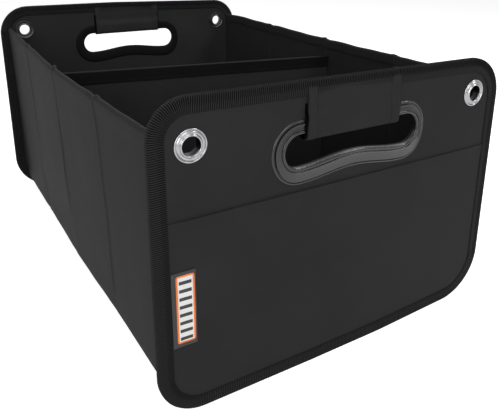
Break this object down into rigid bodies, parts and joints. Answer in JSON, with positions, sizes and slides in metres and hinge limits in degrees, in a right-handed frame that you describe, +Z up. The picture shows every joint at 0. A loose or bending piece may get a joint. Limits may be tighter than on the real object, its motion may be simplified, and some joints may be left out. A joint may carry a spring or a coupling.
{
  "type": "car trunk organizer",
  "caption": "Open folding cloth box for a car trunk, with stiff bound end panels, moulded carrying handles with grip wraps, metal eyelets, side walls that fold and a divider.",
  "frame": {"origin": "centre of the box's footprint, on the ground that the two end panels stand on", "axes": "+X to the right seen from the front panel, +Y from the front panel to the back panel, +Z up"},
  "size_m": [0.3449, 0.5034, 0.25],
  "materials": {
    "cloth": "coated plain-weave polyester, matt",
    "lining": "plain-weave polyester lining, matt",
    "tape": "ribbed binding tape",
    "board": "plain stiffening board, hidden",
    "plastic": "moulded plastic, satin",
    "metal": "bright nickel plate",
    "label": "woven label with a plain frame"
  },
  "bodies": {
    "root": {"front_outer_cover": "cloth", "front_board": "board", "front_inner_cover": "lining", "front_binding": "tape", "front_pocket": "cloth", "front_handle_frame_outer": "plastic", "front_handle_frame_inner": "plastic", "front_grip_wrap": "cloth", "front_eyelet_left": "metal", "front_eyelet_right": "metal", "front_eyelet_washer_left": "metal", "front_eyelet_washer_right": "metal", "front_label": "label", "back_outer_cover": "cloth", "back_board": "board", "back_inner_cover": "lining", "back_binding": "tape", "back_pocket": "cloth", "back_handle_frame_outer": "plastic", "back_handle_frame_inner": "plastic", "back_grip_wrap": "cloth", "back_eyelet_left": "metal", "back_eyelet_right": "metal", "back_eyelet_washer_left": "metal", "back_eyelet_washer_right": "metal", "left_wall_cover": "cloth", "left_wall_lining": "lining", "left_wall_board_1": "board", "left_wall_board_2": "board", "left_wall_board_3": "board", "left_wall_board_4": "board", "right_wall_cover": "cloth", "right_wall_lining": "lining", "right_wall_board_1": "board", "right_wall_board_2": "board", "right_wall_board_3": "board", "right_wall_board_4": "board", "front_floor_cover": "cloth", "front_floor_board": "board", "front_floor_lining": "lining", "back_floor_cover": "cloth", "back_floor_board": "board", "back_floor_lining": "lining", "divider_front_cloth": "lining", "divider_back_cloth": "lining", "divider_board": "board", "divider_hem_band": "tape"}
  },
  "joints": []
}
